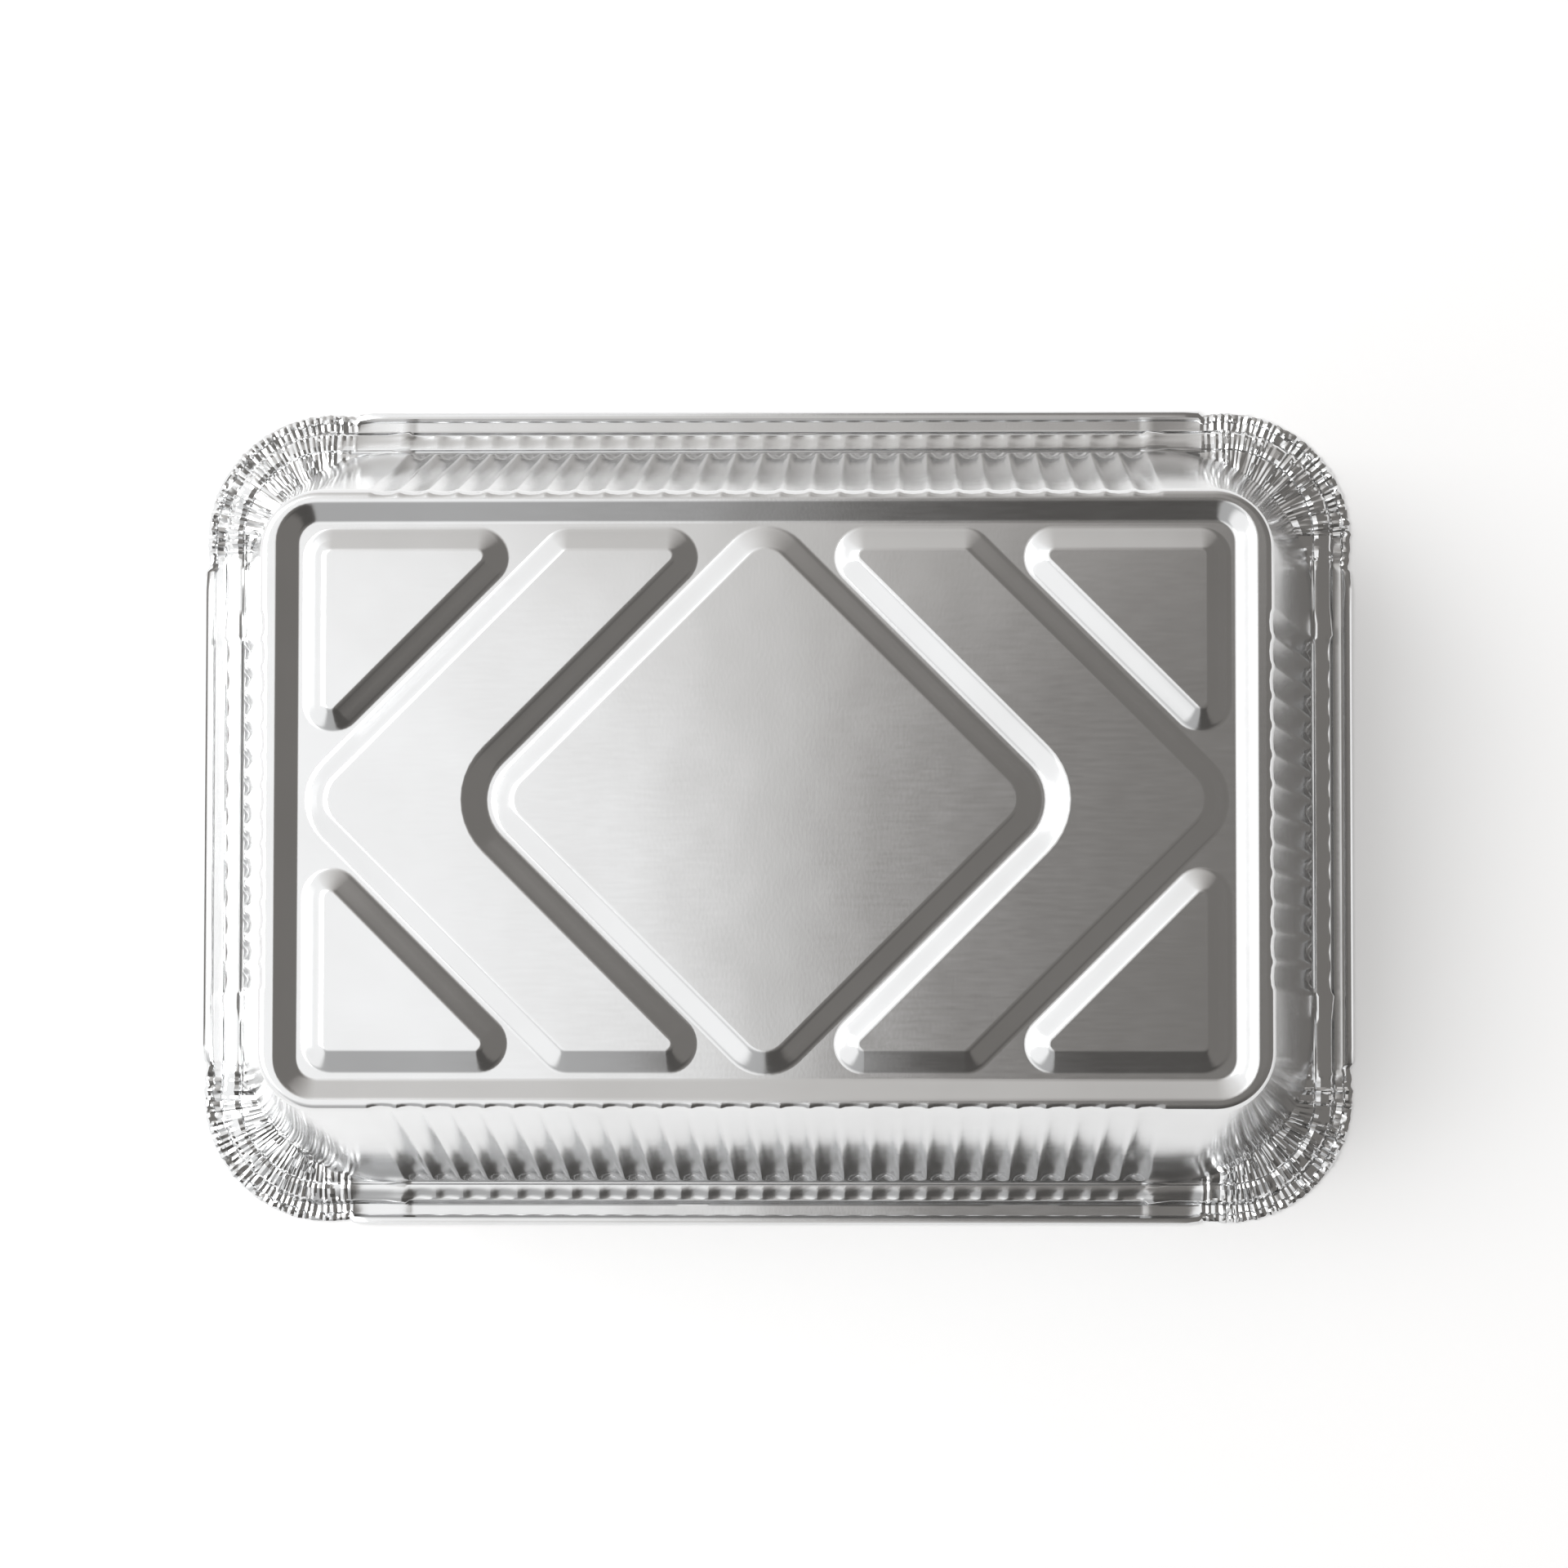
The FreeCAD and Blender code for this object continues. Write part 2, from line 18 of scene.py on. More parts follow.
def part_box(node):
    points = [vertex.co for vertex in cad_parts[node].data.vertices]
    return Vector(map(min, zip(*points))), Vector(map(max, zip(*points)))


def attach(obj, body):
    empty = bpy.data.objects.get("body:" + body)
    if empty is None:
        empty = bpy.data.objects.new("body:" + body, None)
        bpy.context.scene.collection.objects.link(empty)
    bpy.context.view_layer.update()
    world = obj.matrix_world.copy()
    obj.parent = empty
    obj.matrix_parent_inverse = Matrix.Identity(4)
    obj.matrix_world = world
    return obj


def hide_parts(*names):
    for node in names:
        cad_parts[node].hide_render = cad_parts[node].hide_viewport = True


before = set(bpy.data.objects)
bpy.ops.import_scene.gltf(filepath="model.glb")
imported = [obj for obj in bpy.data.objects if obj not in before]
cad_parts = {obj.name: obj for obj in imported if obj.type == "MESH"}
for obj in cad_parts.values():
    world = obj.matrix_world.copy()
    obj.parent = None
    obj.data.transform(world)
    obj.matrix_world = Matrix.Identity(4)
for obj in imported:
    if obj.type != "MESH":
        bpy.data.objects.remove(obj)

NODE = "foil_tray"
LOW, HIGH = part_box(NODE)
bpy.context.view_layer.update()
print("solid model, in metres:", [round(v, 4) for v in HIGH - LOW])

# %% [markdown]
# ## Camera
#
# The photograph looks almost straight down from about 0.6 metres, a little to the right and in front of the
# tray's middle, so that the near wall shows more than the far one. A long lens and a small shift of the
# picture give that framing. The place was solved from the corners of the rim and of the foot ring.

# %% Camera
CAMERA_PLACE = (0.0258, -0.0375, 0.6144)
CAMERA_TURN = (1.88, 0.92, 0.03)
CAMERA_LENS = 75.56
CAMERA_SHIFT = (-0.05, 0.08)
CAMERA_NEAREST = 0.01

turn = [math.radians(angle) for angle in CAMERA_TURN]
bpy.ops.object.camera_add(location=CAMERA_PLACE, rotation=turn)
camera = bpy.context.object
camera.name = "camera"
camera.data.lens = CAMERA_LENS
camera.data.shift_x, camera.data.shift_y = CAMERA_SHIFT
camera.data.clip_start = CAMERA_NEAREST
bpy.context.scene.camera = camera
bpy.context.scene.view_settings.view_transform = "Standard"
print("camera", CAMERA_PLACE, "lens", CAMERA_LENS)

# %% [markdown]
# ## Floor
#
# The floor is a plain white table. Under soft light a white surface comes out pale grey, so the floor adds a
# little glow of its own for rays from the camera and for rays that bounce off the metal. The glow is the
# same everywhere, and the tray's soft shadow still shows through it.

# %% Floor
FLOOR_SIZE = 8.0
FLOOR_COLOUR = (0.86, 0.86, 0.86, 1.0)
FLOOR_GLOW = 0.28


def new_material(name):
    """A material with an empty node tree and its output, and short calls to add and link nodes."""
    material = bpy.data.materials.new(name)
    material.use_nodes = True
    tree = material.node_tree
    tree.nodes.clear()
    output = tree.nodes.new("ShaderNodeOutputMaterial")
    return material, tree.nodes.new, tree.links.new, output


def floor_material():
    material, node, link, output = new_material("white_table")
    paper = node("ShaderNodeBsdfDiffuse")
    paper.inputs["Color"].default_value = FLOOR_COLOUR
    rays = node("ShaderNodeLightPath")
    seen = rays.outputs["Is Camera Ray"]
    for kind in ("Is Glossy Ray", "Is Transmission Ray"):
        either = node("ShaderNodeMath")
        either.operation = "MAXIMUM"
        link(seen, either.inputs[0])
        link(rays.outputs[kind], either.inputs[1])
        seen = either.outputs[0]
    strength = node("ShaderNodeMath")
    strength.operation = "MULTIPLY"
    strength.inputs[1].default_value = FLOOR_GLOW
    link(seen, strength.inputs[0])
    glow = node("ShaderNodeEmission")
    link(strength.outputs[0], glow.inputs["Strength"])
    both = node("ShaderNodeAddShader")
    link(paper.outputs[0], both.inputs[0])
    link(glow.outputs[0], both.inputs[1])
    link(both.outputs[0], output.inputs["Surface"])
    return material


bpy.ops.mesh.primitive_plane_add(size=FLOOR_SIZE, location=(0, 0, 0))
floor = bpy.context.object
floor.name = "floor"
floor.data.materials.append(floor_material())
print("floor", FLOOR_SIZE, "metres square")

# %% [markdown]
# ## Light
#
# Polished foil shows its surroundings, so the room is what matters. The left half of this room is bright and
# the right half is dim and slightly warm, with an edge between them that is sharp overhead and softer
# towards the far wall. Slopes that face left come out white, slopes that face right come out grey, and the
# flat base shades from one to the other. The room's near wall is dimmer in its middle. One lamp on the left
# adds the glints and the shadow.

# %% The room
ROOM_BRIGHT = 1.10
ROOM_DIM = 0.20
DIM_TINT = (1.0, 0.95, 0.90, 1.0)
BRIGHT_TINT = (1.0, 1.0, 1.0, 1.0)
EDGE_MIDDLE = -0.040
EDGE_HALF = 0.04
# Two shares of the direction towards the far wall, then how sharp the edge is at each of them.
OVERHEAD_SOFTENING = (0.03, 0.17, 1.0, 0.15)
FAR_SOFTENING = (0.30, 0.80, 1.0, 0.25)
# The same two shares, then how bright the room is there. Near is below zero.
NEAR_DIMMING = (-0.65, -0.12, 0.45, 1.0)
# Two shares of the direction to either side, between which that dimming ends.
DIMMING_END = (0.25, 0.60, 0.0, 1.0)


def map_range(node, link, value, limits, smooth=False):
    """Stretch one range of a value over another range, evenly or with soft ends."""
    ranged = node("ShaderNodeMapRange")
    if smooth:
        ranged.interpolation_type = "SMOOTHSTEP"
    for name, limit in zip(("From Min", "From Max", "To Min", "To Max"), limits):
        ranged.inputs[name].default_value = limit
    link(value, ranged.inputs["Value"])
    return ranged.outputs["Result"]


def mix_colours(node, link, share, one, other):
    mixed = node("ShaderNodeMix")
    mixed.data_type = "RGBA"
    mixed.inputs["A"].default_value = one
    mixed.inputs["B"].default_value = other
    link(share, mixed.inputs["Factor"])
    return mixed.outputs["Result"]


def room_material():
    """A world whose light depends on the direction that it comes from."""
    room = bpy.data.worlds.new("room")
    room.use_nodes = True
    tree = room.node_tree
    node = tree.nodes.new
    link = tree.links.new
    direction = node("ShaderNodeSeparateXYZ")
    link(node("ShaderNodeTexCoord").outputs["Generated"], direction.inputs[0])

    def combine(operation, one, other):
        maths = node("ShaderNodeMath")
        maths.operation = operation
        for place, value in enumerate((one, other)):
            if isinstance(value, float):
                maths.inputs[place].default_value = value
            else:
                link(value, maths.inputs[place])
        return maths.outputs[0]

    def soft_edge(value, limits):
        return map_range(node, link, value, limits, smooth=True)

    forward = direction.outputs["Y"]
    overhead = soft_edge(forward, OVERHEAD_SOFTENING)
    sharpness = combine("MULTIPLY", overhead, soft_edge(forward, FAR_SOFTENING))
    leftness = combine("MULTIPLY", combine("SUBTRACT", EDGE_MIDDLE, direction.outputs["X"]), sharpness)
    bright_side = soft_edge(leftness, (-EDGE_HALF, EDGE_HALF, 0.0, 1.0))
    level = combine("ADD", combine("MULTIPLY", bright_side, ROOM_BRIGHT - ROOM_DIM), ROOM_DIM)
    background = tree.nodes["Background"]
    sideways = combine("ABSOLUTE", direction.outputs["X"], 0.0)
    near_wall = combine("MAXIMUM", soft_edge(forward, NEAR_DIMMING), soft_edge(sideways, DIMMING_END))
    link(combine("MULTIPLY", level, near_wall), background.inputs["Strength"])
    link(mix_colours(node, link, bright_side, DIM_TINT, BRIGHT_TINT), background.inputs["Color"])
    return room


bpy.context.scene.world = room_material()
print("room, bright and dim side:", ROOM_BRIGHT, ROOM_DIM)

# %% Lamp
LAMP_PLACE = (-1.10, 0.25, 1.30)
LAMP_SIZE = 1.2
LAMP_POWER = 15.0

bpy.ops.object.light_add(type="AREA", location=LAMP_PLACE)
lamp = bpy.context.object
lamp.name = "lamp_left"
lamp.rotation_euler = (-Vector(LAMP_PLACE)).to_track_quat("-Z", "Y").to_euler()
lamp.data.size = LAMP_SIZE
lamp.data.energy = LAMP_POWER
print("lamp", LAMP_POWER, "watts")

# %% [markdown]
# ## The way round the tray
#
# Walls and rim are one sheet with the same order of things all the way round: a gathered corner, a smooth
# run, a row of flutes, another smooth run, and the next corner. So the sheet is made as a net. Its columns
# run from the foot to the lip, and its rings go round. A column knows how far it stands from the diagonal of
# its corner, or on which flute it lies, so each ring only has to say its size and its level.

# %% Sizes of the sheet
MM = 0.001
FOIL = 0.1 * MM
HALF_LENGTH = HIGH.x
HALF_WIDTH = HIGH.y
DEPTH = HIGH.z
RIM_RADIUS = 24.0 * MM
WALL_INSET = 7.9 * MM
WALL_CORNER = 27.4 * MM
SHOULDER_LEVEL = 3.0 * MM
FOOT_HALF_X = 87.2 * MM
FOOT_HALF_Y = 53.25 * MM
FOOT_RADIUS = 10.0 * MM
FLUTE_PITCH = 5.08 * MM
FLUTES = (27, 13)
QUARTER = math.pi / 2
CORNER_SIGNS = ((1, 1), (-1, 1), (-1, -1), (1, -1))
print("flutes on a long and on a short wall:", FLUTES)


# %% Columns of the net
class Column:
    """One line of the sheet from the foot to the lip.

    Near a corner its reach counts from the diagonal: the arc ends at 1, and the flutes begin at 2.
    """

    def __init__(self, corner=None, reach=0.0, ridge=0.0, grip=0.0, side=None, along=None, across=None):
        self.corner = corner
        self.reach = reach
        self.ridge = ridge
        self.grip = grip
        self.side = side
        self.along = along
        self.across = across
        if side is None:
            self.side = corner if reach > 0 else (corner - 1) % 4


print("a column knows its", ", ".join(vars(Column(corner=0))))

# %% [markdown]
# ## Folds of the corners
#
# The folds are not even: some are tall and some are low, and none is quite straight. Each fold is a valley
# and a rounded ridge. The last few of them run out on to the straight sides.

# %% Folds
CORNER_PLEATS = 28
RUN_PLEATS = 4
RUN_SHARE = 0.34
PLEAT_DRIFT = 0.2
WEAKEST_PLEAT = 0.1
STRONGEST_PLEAT = 1.15
FOLD_SEED = 40
# The grip grows over the pleats of a run, and this is where it starts, in pleats.
GRIP_START = 0.4
# Place between one valley and the next, and height there.
FOLD_COLUMNS = ((0.0, 0.0), (0.34, 0.85), (0.52, 1.0), (0.78, 0.35))
RUN_COLUMNS = (0.50, 0.70, 0.86, 0.97)
FLUTE_COLUMNS = [across * MM for across in (-2.25, -1.45, 0.0, 1.45, 2.25)]


def fold_reach(place):
    """Reach of a place that is counted in folds from the first gathered fold of a corner."""
    inside = place - RUN_PLEATS
    if inside < 0:
        return -1 + inside / RUN_PLEATS * RUN_SHARE
    if inside < CORNER_PLEATS:
        return -1 + 2 * inside / CORNER_PLEATS
    return 1 + (inside - CORNER_PLEATS) / RUN_PLEATS * RUN_SHARE


def gathered_columns(corner):
    chance = random.Random(FOLD_SEED + corner)
    total = CORNER_PLEATS + 2 * RUN_PLEATS
    columns = []
    valleys = [pleat + chance.uniform(-PLEAT_DRIFT, PLEAT_DRIFT) for pleat in range(total + 1)]
    valleys[0], valleys[-1] = 0.0, float(total)
    for valley, following in zip(valleys, valleys[1:]):
        strength = chance.uniform(WEAKEST_PLEAT, STRONGEST_PLEAT)
        for step, height in FOLD_COLUMNS:
            place = valley + (following - valley) * step
            grip = min(1.0, (place + GRIP_START) / RUN_PLEATS, (total - place) / RUN_PLEATS)
            columns.append(Column(corner, fold_reach(place), height * strength * grip, grip))
    return columns


def flute_columns(side):
    columns = []
    count = FLUTES[side % 2]
    for flute in range(count):
        middle = (flute - (count - 1) / 2) * FLUTE_PITCH
        for across in FLUTE_COLUMNS:
            columns.append(Column(side=side, along=middle + across, across=across))
    return columns


COLUMNS = []
for corner in range(4):
    COLUMNS += gathered_columns(corner)
    COLUMNS += [Column(corner, 1 + share) for share in RUN_COLUMNS]
    COLUMNS += flute_columns(corner)
    COLUMNS += [Column((corner + 1) % 4, -1 - share) for share in reversed(RUN_COLUMNS)]
print("columns of the net:", len(COLUMNS))


# %% Where a column stands
def on_side(side, along, out):
    """A point on one side of the tray, and the direction that faces outwards there."""
    turn = QUARTER * (side + 1)
    outward = Vector((math.cos(turn), math.sin(turn), 0))
    return outward * out + Vector((-outward.y, outward.x, 0)) * along, outward


def on_outline(column, length, half_x, half_y, radius):
    """The point of a rounded rectangle at a length from the diagonal of the column's corner."""
    arc = radius * QUARTER / 2
    if abs(length) <= arc:
        turn = QUARTER * (column.corner + 0.5) + length / radius
        outward = Vector((math.cos(turn), math.sin(turn), 0))
        sign_x, sign_y = CORNER_SIGNS[column.corner]
        middle = Vector((sign_x * (half_x - radius), sign_y * (half_y - radius), 0))
        return middle + outward * radius, outward
    spans = (half_x - radius, half_y - radius)
    outs = (half_y, half_x)
    direction = math.copysign(1, length)
    along = direction * (abs(length) - arc - spans[column.side % 2])
    return on_side(column.side, along, outs[column.side % 2])


def run_to_flutes(column, half_x, half_y, radius):
    """Length of the straight run from the end of a corner's arc to the first flute."""
    span = (half_x, half_y)[column.side % 2] - radius
    return span - FLUTE_PITCH * FLUTES[column.side % 2] / 2


def even_length(column, half_x, half_y, radius):
    """Length from the diagonal where the folds are spread evenly over the arc."""
    turn = radius * QUARTER / 2
    if abs(column.reach) <= 1:
        return column.reach * turn
    beyond = (abs(column.reach) - 1) * run_to_flutes(column, half_x, half_y, radius)
    return math.copysign(turn + beyond, column.reach)


def wall_edge_length(column):
    """Length from the diagonal on the wall's lower edge, straight in from where the column meets the rim."""
    shift = WALL_CORNER - RIM_RADIUS + WALL_INSET
    if abs(column.reach) <= 1:
        turn = (1 + column.reach) * QUARTER / 2
        ahead = shift * (math.cos(turn) + math.sin(turn))
        out = math.sqrt(ahead * ahead - 2 * shift * shift + WALL_CORNER * WALL_CORNER) - ahead
        angle = math.atan2(shift + out * math.sin(turn), shift + out * math.cos(turn))
        return (angle - QUARTER / 2) * WALL_CORNER
    beyond = (abs(column.reach) - 1) * run_to_flutes(column, HALF_LENGTH, HALF_WIDTH, RIM_RADIUS)
    off = shift - beyond
    if off > 0:
        length = (QUARTER / 2 - math.asin(off / WALL_CORNER)) * WALL_CORNER
    else:
        length = WALL_CORNER * QUARTER / 2 - off
    return math.copysign(length, column.reach)


def stand_on_rim(column, inset):
    if column.corner is None:
        return on_side(column.side, column.along, (HALF_WIDTH, HALF_LENGTH)[column.side % 2] - inset)
    sizes = (HALF_LENGTH - inset, HALF_WIDTH - inset, RIM_RADIUS - inset)
    return on_outline(column, even_length(column, *sizes), *sizes)


def stand_on_wall(column, level):
    share = (level - SHOULDER_LEVEL) / (DEPTH - SHOULDER_LEVEL)
    half_x = HALF_LENGTH - WALL_INSET + (FOOT_HALF_X - HALF_LENGTH + WALL_INSET) * share
    half_y = HALF_WIDTH - WALL_INSET + (FOOT_HALF_Y - HALF_WIDTH + WALL_INSET) * share
    if column.corner is None:
        return on_side(column.side, column.along, (half_y, half_x)[column.side % 2])
    radius = WALL_CORNER + (FOOT_RADIUS - WALL_CORNER) * share
    at_edge = wall_edge_length(column)
    at_foot = even_length(column, FOOT_HALF_X, FOOT_HALF_Y, FOOT_RADIUS)
    return on_outline(column, at_edge + (at_foot - at_edge) * share, half_x, half_y, radius)


start = stand_on_rim(COLUMNS[0], 0.0)[0]
print("the first column meets the rim at, in millimetres:", [round(v / MM, 1) for v in start])

# %% [markdown]
# ## Lofting by hand
#
# A loft is a circle that is extruded again and again. Each new ring of points is then moved to its place.
# That is how one draws a bottle or a bowl by hand, and here the places come from a formula.

# %% Loft a stack of rings
def loft(name, rings, closed_top=False):
    """A mesh that joins rings of points, one to the next. A closed top has a flat face in its last ring."""
    bpy.ops.object.select_all(action="DESELECT")
    bpy.ops.mesh.primitive_circle_add(vertices=len(rings[0]), radius=HALF_WIDTH)
    piece = bpy.context.object
    piece.name = name
    bpy.ops.object.mode_set(mode="EDIT")
    bpy.ops.mesh.select_all(action="SELECT")
    mesh = bmesh.from_edit_mesh(piece.data)
    mesh.verts.ensure_lookup_table()
    row = list(range(len(rings[0])))
    for vertex, point in zip(mesh.verts, rings[0]):
        vertex.co = point
    for ring in rings[1:]:
        bpy.ops.mesh.extrude_region_move()
        mesh = bmesh.from_edit_mesh(piece.data)
        mesh.verts.ensure_lookup_table()
        following = []
        for i in row:
            vertex = mesh.verts[i]
            others = [edge.other_vert(vertex) for edge in vertex.link_edges]
            following.append(next(other.index for other in others if other.select))
        for i, point in zip(following, ring):
            mesh.verts[i].co = point
        row = following
    if closed_top:
        bpy.ops.mesh.edge_face_add()
    bmesh.update_edit_mesh(piece.data)
    bpy.ops.object.mode_set(mode="OBJECT")
    return piece


# %% Soft steps and ripples
def soft_step(value):
    """0 below 0, 1 above 1, and a smooth rise between."""
    value = min(1.0, max(0.0, value))
    return value * value * (3 - 2 * value)


def band(value, middle, width, end):
    """1 inside a band and 0 outside it. It fades over one width, up to so many widths from the middle."""
    return soft_step(end - abs(value - middle) / width)


def ripple(point, wave, seed):
    """Smooth random values from about -1 to 1 that change over a given distance."""
    return noise.noise(point / wave + Vector((seed, 0, 0)))


print("a band, from its middle out:", [round(band(step / 4, 0.0, 1.0, 1.0), 2) for step in range(5)])

# %% [markdown]
# ## Walls
#
# The walls lean in towards the base. Each flute is a shallow groove that is deepest near the rim, where it
# ends in a round arch, and it runs out almost flat at the foot. Narrow ridges are left between the flutes.
# The corners are much rounder at the rim than at the foot, and they start gathered and smooth themselves
# out as they rise. A small rounding leads over to the foot ring.

# %% Rings of the walls
WALL_LEVELS = (49.1, 47.6, 42.0, 33.0, 23.5, 15.5, 11.0, 8.4, 6.9, 5.8, 4.9, 4.2, 3.6, 3.2)
# Distance in from the foot's outline and level, in millimetres, then how far a flute pulls the edge in and
# down there, as shares of its depth.
FOOT_ROUNDING = (
    (1.20, 50.0, 0.0, 0.0), (0.95, 50.0, 0.0, 0.0), (0.42, 49.96, 0.35, 0.7), (0.12, 49.78, 0.8, 1.1),
)
FLUTE_HALF = 2.25 * MM
FLUTE_DEPTH_RIM = 1.0 * MM
FLUTE_DEPTH_FOOT = 0.34 * MM
ARCH_LEVEL = 3.9 * MM
ARCH_RISE = 2.4 * MM
ARCH_SOFTNESS = 1.2 * MM
PLEAT_HEIGHT = 0.5 * MM
GATHER_RISE = 8.0 * MM
BUCKLE = 0.30 * MM
# The share of the buckles that is left high on the wall.
BUCKLE_LEFT = 0.2
WALL_WAVE = 0.12 * MM
# Powers that set how fast a flute runs out towards the foot, and how flat its floor is.
FLUTE_FADE = 0.8
FLUTE_FLATNESS = 3
# Share of its height that a fold has on the wall, and the share that is left to chance.
WALL_FOLD = 0.8
WALL_FOLD_CHANCE = 0.7
# Wave length and seed of each ripple.
FOLD_RIPPLE = (1.2 * MM, 31)
BUCKLE_RIPPLE = (4.0 * MM, 13)
WALL_RIPPLE = (22.0 * MM, 17)


def flute_depth(column, level):
    """How deep the flute under a column is at a level."""
    if column.across is None:
        return 0.0
    off = abs(column.across) / FLUTE_HALF
    share = (level - ARCH_LEVEL) / (DEPTH - ARCH_LEVEL)
    depth = FLUTE_DEPTH_RIM + (FLUTE_DEPTH_FOOT - FLUTE_DEPTH_RIM) * max(0.0, share) ** FLUTE_FADE
    arch = ARCH_LEVEL + ARCH_RISE * off * off
    return depth * (1 - off ** FLUTE_FLATNESS) * soft_step((level - arch) / ARCH_SOFTNESS)


def wall_ring(level):
    """One ring of the walls, with flutes on the sides and gathers in the corners."""
    gathered = 1 - soft_step((level - SHOULDER_LEVEL) / GATHER_RISE)
    points = []
    for column in COLUMNS:
        spot, outward = stand_on_wall(column, level)
        spot.z = level
        fold = ripple(Vector((spot.x, spot.y, 0)), *FOLD_RIPPLE)
        push = PLEAT_HEIGHT * column.ridge * gathered * (WALL_FOLD + WALL_FOLD_CHANCE * fold)
        held = BUCKLE_LEFT + (1 - BUCKLE_LEFT) * gathered
        push += BUCKLE * column.grip * held * ripple(spot, *BUCKLE_RIPPLE)
        push += WALL_WAVE * ripple(spot, *WALL_RIPPLE)
        push -= flute_depth(column, level)
        points.append(spot + outward * push)
    return points


def foot_ring(inset, level, pull_in, pull_down):
    points = []
    for column in COLUMNS:
        spot, outward = stand_on_wall(column, DEPTH)
        flute = flute_depth(column, DEPTH)
        spot -= outward * (inset * MM + flute * pull_in)
        spot.z = level * MM - flute * pull_down
        points.append(spot)
    return points


wall_rings = [foot_ring(*step) for step in FOOT_ROUNDING]
wall_rings += [wall_ring(level * MM) for level in WALL_LEVELS]
print("rings of the walls:", len(wall_rings))

# %% [markdown]
# ## Rim
#
# Seen in section, the rim starts with a fine groove and a narrow shoulder, which carries a lid. It falls
# over a scalloped edge and a steep riser to the flange, and ends in a rolled lip. In the corners the shoulder
# is far wider, because the wall is rounder there than the rim, and everything is gathered.

# %% Section of the rim
# Distance in from the outer line and level, in millimetres, from the wall's lower edge outwards.
RIM_SECTION = [
    (7.88, 2.60), (7.66, 2.62), (7.40, 3.00), (6.70, 3.06), (5.80, 2.80), (5.10, 2.48), (4.72, 2.42),
    (4.46, 2.20), (4.20, 1.20), (3.92, 0.38), (3.66, 0.14), (3.30, 0.10), (2.30, 0.16), (1.70, 0.12),
]
SHOULDER_SHARES = (0.33, 0.67)
SHOULDER_FOLDS = 1.3
CRINKLE = 0.26 * MM
CRINKLE_LIFT = 0.4
CREASE_CALM = 0.6
SCALLOP_DEPTH = 0.28 * MM
KNUCKLE_HEIGHT = 0.75 * MM
# How much the height of a fold wanders on its way, as a share.
WANDER = 1.5
RIM_WAVE = 0.04 * MM
# Wave length and seed of each ripple.
CRINKLE_RIPPLE = (1.1 * MM, 9)
WANDER_RIPPLE = (2.6 * MM, 3)
RIM_RIPPLE = (14.0 * MM, 5)
# Middle, width and end of each band. Creases and edge go by the distance in, the riser by its level, the
# scallops by the distance from a flute's middle, and the lumps by their reach.
CREASE_BANDS = ((7.66 * MM, 0.5 * MM, 1.5), (3.8 * MM, 0.5 * MM, 1.5))
EDGE_BAND = (5.6 * MM, 0.7 * MM, 1.4)
RISER_BAND = (1.5 * MM, 1.3 * MM, 1.3)
SCALLOP_BAND = (0.0, 1.9 * MM, 1.3)
KNUCKLE_BAND = (1.93, 0.14, 1.0)
# On the right side the flange has bent up a little towards the lip.
BENT_SIDE = 3
BEND_START = 3.3 * MM
BEND_SLOPE = 0.10


def section_normals(section):
    """Outward and upward part of the surface normal at each point of a section."""
    normals = []
    for i in range(len(section)):
        before = section[max(0, i - 1)]
        after = section[min(len(section) - 1, i + 1)]
        run, rise = before[0] - after[0], after[1] - before[1]
        length = math.hypot(run, rise)
        normals.append((-rise / length, run / length))
    return normals


def knuckle(column):
    """1 where the scalloped side of the die ends in a small lump, and 0 away from it."""
    return band(abs(column.reach), *KNUCKLE_BAND)


def scallop(column):
    if column.across is None:
        return 0.0
    return band(column.across, *SCALLOP_BAND)


def fold_push(column, spot, strength):
    """How far the folds and crinkles of a corner lift the sheet."""
    wander = 1 + WANDER * ripple(spot, *WANDER_RIPPLE)
    crinkle = CRINKLE * column.grip * (ripple(spot, *CRINKLE_RIPPLE) + CRINKLE_LIFT)
    return PLEAT_HEIGHT * column.ridge * wander * strength + crinkle


def shoulder_ring(share):
    """A ring between the wall's lower edge and the groove, which part widely only in the corners."""
    points = []
    for column in COLUMNS:
        edge = stand_on_wall(column, SHOULDER_LEVEL)[0]
        crease = stand_on_rim(column, RIM_SECTION[0][0] * MM)[0]
        spot = edge.lerp(crease, share)
        spot.z = WALL_LEVELS[-1] * MM + (RIM_SECTION[0][1] - WALL_LEVELS[-1]) * MM * share
        spot.z += fold_push(column, spot, SHOULDER_FOLDS)
        points.append(spot)
    return points


def rim_ring(inset, level, normal):
    """One ring of the stepped rim, with its folds, crinkles, scallops and lumps."""
    on_edge = band(inset, *EDGE_BAND)
    on_riser = band(level, *RISER_BAND)
    on_crease = max(band(inset, *crease) for crease in CREASE_BANDS)
    bend = BEND_SLOPE * max(0.0, BEND_START - inset)
    points = []
    for column in COLUMNS:
        spot, outward = stand_on_rim(column, inset)
        spot.z = level
        if column.side == BENT_SIDE:
            spot.z += bend * (1 - column.grip)
        push = fold_push(column, spot, 1 - CREASE_CALM * on_crease)
        push += on_riser * KNUCKLE_HEIGHT * knuckle(column) - on_edge * SCALLOP_DEPTH * scallop(column)
        push += RIM_WAVE * ripple(spot, *RIM_RIPPLE)
        spot += outward * (normal[0] * push)
        spot.z = max(FOIL, spot.z + normal[1] * push)
        points.append(spot)
    return points


rim_rings = [shoulder_ring(share) for share in SHOULDER_SHARES]
for (inset, level), normal in zip(RIM_SECTION, section_normals(RIM_SECTION)):
    rim_rings.append(rim_ring(inset * MM, level * MM, normal))
print("rings of the rim:", len(rim_rings))

